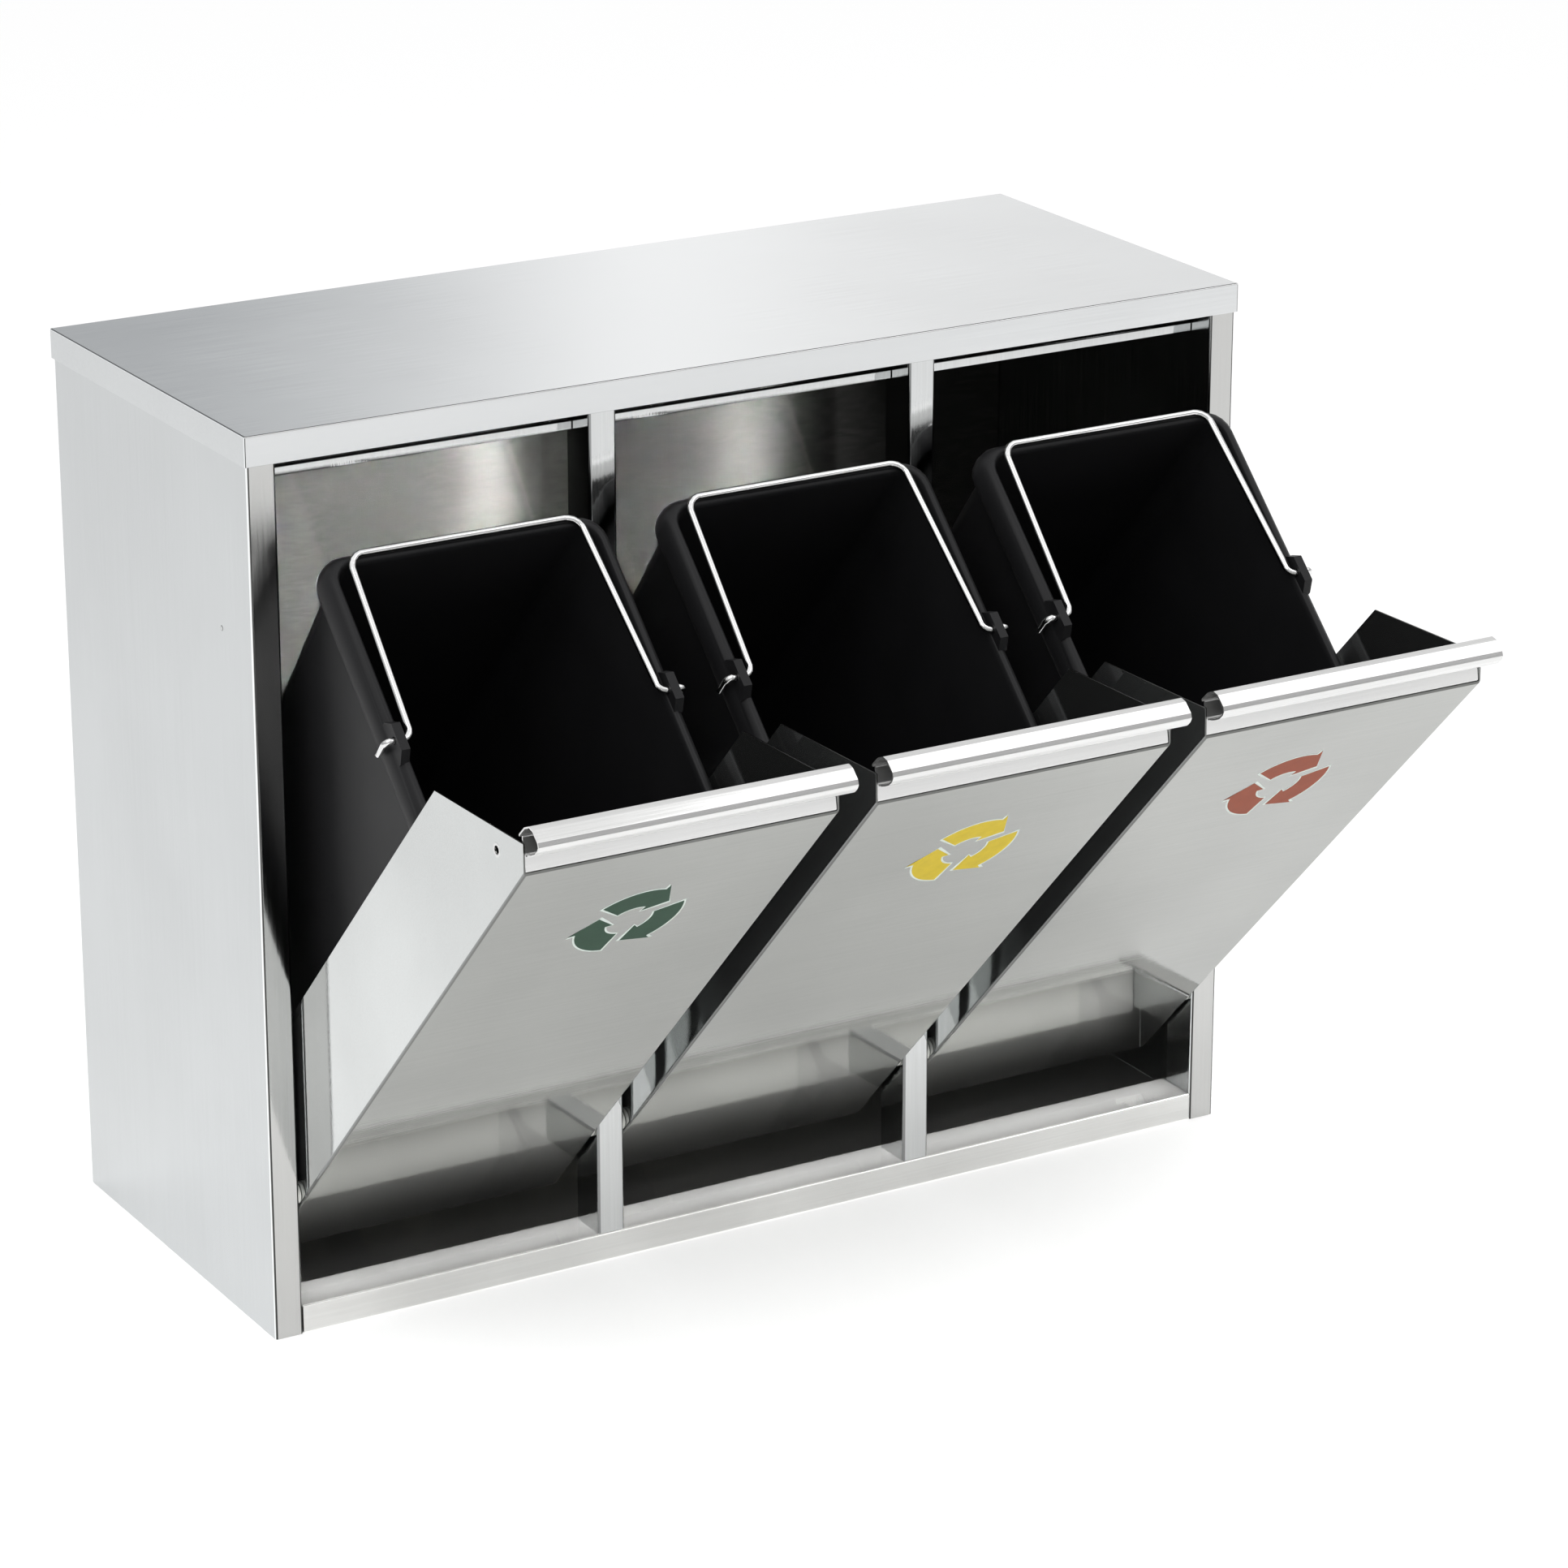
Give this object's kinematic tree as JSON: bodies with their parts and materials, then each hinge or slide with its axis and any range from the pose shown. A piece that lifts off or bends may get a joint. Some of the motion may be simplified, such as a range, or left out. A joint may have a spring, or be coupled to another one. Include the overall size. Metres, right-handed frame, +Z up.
{
  "type": "tilt-out recycling bin station",
  "caption": "Free-standing steel cabinet with tilt-out doors side by side, each carrying a lift-out plastic bucket with a wire bail, for sorting waste.",
  "frame": {"origin": "centre of the cabinet's footprint, on its underside", "axes": "+X to the right seen from the front, -Y out of the front, +Z up"},
  "size_m": [0.6306, 0.5394, 0.52],
  "materials": {
    "brushed_steel": "brushed stainless sheet",
    "satin_steel": "fine satin stainless sheet",
    "polished_steel": "bright polished stainless sheet",
    "chromed_wire": "bright chromed wire",
    "black_plastic": "black moulded plastic, slight sheen",
    "white_nylon": "natural nylon"
  },
  "bodies": {
    "cabinet": {"top_panel": "satin_steel", "left_side_panel": "brushed_steel", "right_side_panel": "brushed_steel", "back_panel": "brushed_steel", "base_pan": "brushed_steel", "mullion_left": "polished_steel", "mullion_right": "polished_steel", "left_stop_bar": "polished_steel", "left_hinge_pin_left": "polished_steel", "left_hinge_bush_left": "white_nylon", "left_hinge_pin_right": "polished_steel", "left_hinge_bush_right": "white_nylon", "middle_stop_bar": "polished_steel", "middle_hinge_pin_left": "polished_steel", "middle_hinge_bush_left": "white_nylon", "middle_hinge_pin_right": "polished_steel", "middle_hinge_bush_right": "white_nylon", "right_stop_bar": "polished_steel", "right_hinge_pin_left": "polished_steel", "right_hinge_bush_left": "white_nylon", "right_hinge_pin_right": "polished_steel", "right_hinge_bush_right": "white_nylon"},
    "left_door": {"left_door_panel": "satin_steel", "left_door_handle": "polished_steel", "left_bucket_shelf": "brushed_steel", "left_stop_stud_left": "polished_steel", "left_stop_stud_right": "polished_steel"},
    "left_bucket_body": {"left_bucket": "black_plastic"},
    "left_bail_body": {"left_bail": "chromed_wire"},
    "middle_door": {"middle_door_panel": "satin_steel", "middle_door_handle": "polished_steel", "middle_bucket_shelf": "brushed_steel", "middle_stop_stud_left": "polished_steel", "middle_stop_stud_right": "polished_steel"},
    "middle_bucket_body": {"middle_bucket": "black_plastic"},
    "middle_bail_body": {"middle_bail": "chromed_wire"},
    "right_door": {"right_door_panel": "satin_steel", "right_door_handle": "polished_steel", "right_bucket_shelf": "brushed_steel", "right_stop_stud_left": "polished_steel", "right_stop_stud_right": "polished_steel"},
    "right_bucket_body": {"right_bucket": "black_plastic"},
    "right_bail_body": {"right_bail": "chromed_wire"}
  },
  "joints": [
    {"name": "left_door_hinge", "type": "hinge", "parent": "cabinet", "child": "left_door", "pos_m": [-0.20367, -0.118, 0.082], "axis": [1, 0, 0], "range_deg": [-44, 0]},
    {"name": "left_bucket_lift", "type": "slide", "parent": "left_door", "child": "left_bucket_body", "axis": [0, -0.6947, 0.7193], "range_m": [0, 0.48]},
    {"name": "left_bail_hinge", "type": "hinge", "parent": "left_bucket_body", "child": "left_bail_body", "pos_m": [-0.20367, -0.23825, 0.38071], "axis": [1, 0, 0], "range_deg": [0, 179]},
    {"name": "middle_door_hinge", "type": "hinge", "parent": "cabinet", "child": "middle_door", "pos_m": [0, -0.118, 0.082], "axis": [1, 0, 0], "range_deg": [-44, 0]},
    {"name": "middle_bucket_lift", "type": "slide", "parent": "middle_door", "child": "middle_bucket_body", "axis": [0, -0.6947, 0.7193], "range_m": [0, 0.48]},
    {"name": "middle_bail_hinge", "type": "hinge", "parent": "middle_bucket_body", "child": "middle_bail_body", "pos_m": [0, -0.23825, 0.38071], "axis": [1, 0, 0], "range_deg": [0, 179]},
    {"name": "right_door_hinge", "type": "hinge", "parent": "cabinet", "child": "right_door", "pos_m": [0.20367, -0.118, 0.082], "axis": [1, 0, 0], "range_deg": [-44, 0]},
    {"name": "right_bucket_lift", "type": "slide", "parent": "right_door", "child": "right_bucket_body", "axis": [0, -0.6947, 0.7193], "range_m": [0, 0.48]},
    {"name": "right_bail_hinge", "type": "hinge", "parent": "right_bucket_body", "child": "right_bail_body", "pos_m": [0.20367, -0.23825, 0.38071], "axis": [1, 0, 0], "range_deg": [0, 179]}
  ]
}
